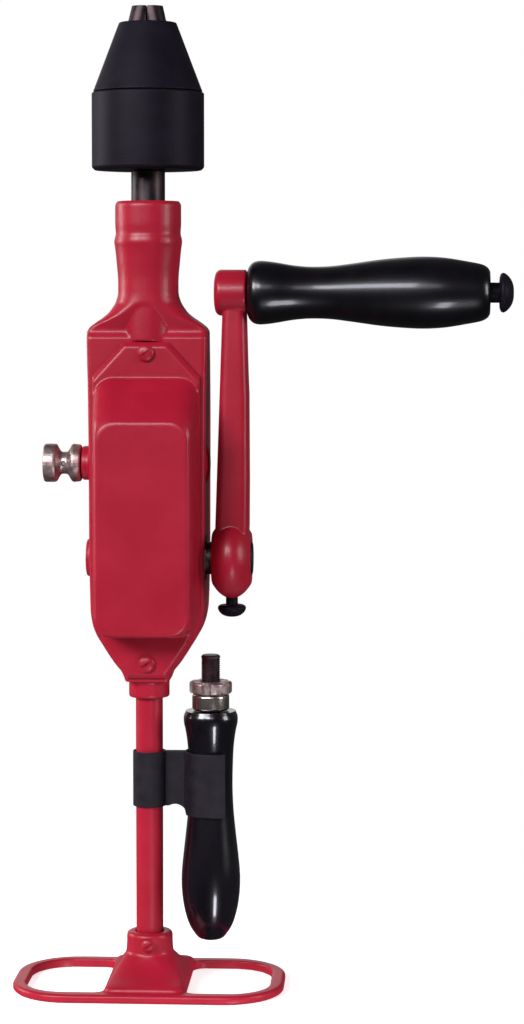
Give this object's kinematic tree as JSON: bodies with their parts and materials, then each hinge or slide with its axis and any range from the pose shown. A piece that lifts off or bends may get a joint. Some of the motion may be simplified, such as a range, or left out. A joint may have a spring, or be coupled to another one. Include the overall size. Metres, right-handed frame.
{
  "type": "hand drill",
  "caption": "Hand-cranked breast drill with an enclosed two-speed gear case, keyless jaw chuck, turned crank grip, side handle stored in a clip and a windowed breast plate.",
  "frame": {"origin": "centre of the breast plate's flat underside, on the line of the frame tube and the spindle", "axes": "+Z from the breast plate to the chuck's jaws, +X towards the crank, -Y out of the gear case's front cover"},
  "size_m": [0.1986, 0.0616, 0.3905],
  "materials": {
    "red_enamel": "glossy red enamel over cast and drawn metal",
    "black_steel": "blackened steel, satin",
    "dark_steel": "dark, lightly oiled steel",
    "black_lacquer": "turned hardwood in glossy black lacquer",
    "black_sheet": "matte black spring sheet",
    "nickel": "bright nickel plate, lightly tarnished",
    "steel": "machined steel",
    "bronze": "plain bearing bronze"
  },
  "bodies": {
    "drill_frame": {"gear_case": "red_enamel", "front_cover": "red_enamel", "cover_screw_top": "red_enamel", "cover_screw_bottom": "red_enamel", "crank_bush_left": "bronze", "crank_bush_right": "bronze", "counter_bush_left": "bronze", "counter_bush_right": "bronze", "spindle_bush_lower": "bronze", "spindle_bush_upper": "bronze", "frame_tube": "red_enamel", "tube_pin": "red_enamel", "breast_plate": "red_enamel", "plate_screw": "red_enamel", "handle_clip": "black_sheet"},
    "crank": {"crank_shaft": "dark_steel", "crank_key": "steel", "fast_driving_gear": "steel", "slow_driving_gear": "steel", "crank_spacer": "steel", "crank_gear_spacer": "steel", "crank_washer": "steel", "crank_arm": "red_enamel", "grip_axle": "black_steel"},
    "clamp_screw": {"crank_clamp_screw": "black_steel"},
    "grip": {"crank_grip": "black_lacquer"},
    "counter": {"countershaft": "steel", "counter_bevel_gear": "steel", "bevel_gear_pin": "steel", "counter_washer": "steel"},
    "fast_gear": {"counter_fast_gear": "steel"},
    "slow_gear": {"counter_slow_gear": "steel"},
    "selector": {"selector_rod": "steel", "selector_key": "steel", "selector_knob": "nickel", "knob_pin": "steel"},
    "spindle_group": {"spindle": "black_steel", "spindle_pinion": "steel", "pinion_pin": "steel", "spindle_washer": "steel", "chuck_body": "black_steel", "chuck_rear_sleeve": "black_steel"},
    "chuck_sleeve": {"chuck_front_sleeve": "black_steel", "chuck_nut": "steel"},
    "jaw_1": {"chuck_jaw_1": "dark_steel"},
    "jaw_2": {"chuck_jaw_2": "dark_steel"},
    "jaw_3": {"chuck_jaw_3": "dark_steel"},
    "stored_handle": {"side_handle": "black_lacquer", "handle_stud": "dark_steel", "handle_ferrule": "nickel"},
    "ring": {"lock_ring": "nickel"}
  },
  "joints": [
    {"name": "crank_turn", "type": "hinge", "parent": "drill_frame", "child": "crank", "pos_m": [0, 0, 0.1724], "axis": [1, 0, 0], "range_deg": [-150, 150]},
    {"name": "grip_spin", "type": "hinge", "parent": "crank", "child": "grip", "pos_m": [0.0394, 0, 0.2779], "axis": [1, 0, 0], "continuous": true},
    {"name": "clamp_screw_turn", "type": "hinge", "parent": "crank", "child": "clamp_screw", "pos_m": [0.0331, 0, 0.1724], "axis": [0, 0, 1], "range_deg": [-360, 0]},
    {"name": "countershaft_turn", "type": "hinge", "parent": "drill_frame", "child": "counter", "pos_m": [0, 0, 0.2102], "axis": [1, 0, 0], "range_deg": [-76, 76]},
    {"name": "fast_gear_turn", "type": "hinge", "parent": "drill_frame", "child": "fast_gear", "pos_m": [0, 0, 0.2102], "axis": [1, 0, 0], "range_deg": [-302, 302]},
    {"name": "slow_gear_turn", "type": "hinge", "parent": "drill_frame", "child": "slow_gear", "pos_m": [0, 0, 0.2102], "axis": [1, 0, 0], "range_deg": [-76, 76]},
    {"name": "selector_pull", "type": "slide", "parent": "counter", "child": "selector", "axis": [-1, 0, 0], "range_m": [0, 0.0072]},
    {"name": "spindle_turn", "type": "hinge", "parent": "drill_frame", "child": "spindle_group", "pos_m": [0, 0, 0.314], "axis": [0, 0, 1], "range_deg": [-152, 152]},
    {"name": "chuck_sleeve_turn", "type": "hinge", "parent": "spindle_group", "child": "chuck_sleeve", "pos_m": [0, 0, 0.3262], "axis": [0, 0, 1], "range_deg": [0, 2630]},
    {"name": "jaw_1_slide", "type": "slide", "parent": "spindle_group", "child": "jaw_1", "axis": [0, 0.2588, -0.9659], "range_m": [0, 0.022]},
    {"name": "jaw_2_slide", "type": "slide", "parent": "spindle_group", "child": "jaw_2", "axis": [-0.2241, -0.1294, -0.9659], "range_m": [0, 0.022]},
    {"name": "jaw_3_slide", "type": "slide", "parent": "spindle_group", "child": "jaw_3", "axis": [0.2241, -0.1294, -0.9659], "range_m": [0, 0.022]},
    {"name": "side_handle_unclip", "type": "slide", "parent": "drill_frame", "child": "stored_handle", "axis": [1, 0, 0], "range_m": [0, 0.04]},
    {"name": "lock_ring_turn", "type": "hinge", "parent": "stored_handle", "child": "ring", "pos_m": [0.0246, 0, 0.1204], "axis": [0, 0, 1], "continuous": true}
  ],
  "couplings": [
    {"joint": "countershaft_turn", "follows": "crank_turn", "ratio": -0.5},
    {"joint": "slow_gear_turn", "follows": "crank_turn", "ratio": -0.5},
    {"joint": "fast_gear_turn", "follows": "crank_turn", "ratio": -2},
    {"joint": "spindle_turn", "follows": "crank_turn", "ratio": -1},
    {"joint": "jaw_1_slide", "follows": "chuck_sleeve_turn", "m_per_rad": 0.00047746},
    {"joint": "jaw_2_slide", "follows": "chuck_sleeve_turn", "m_per_rad": 0.00047746},
    {"joint": "jaw_3_slide", "follows": "chuck_sleeve_turn", "m_per_rad": 0.00047746}
  ]
}
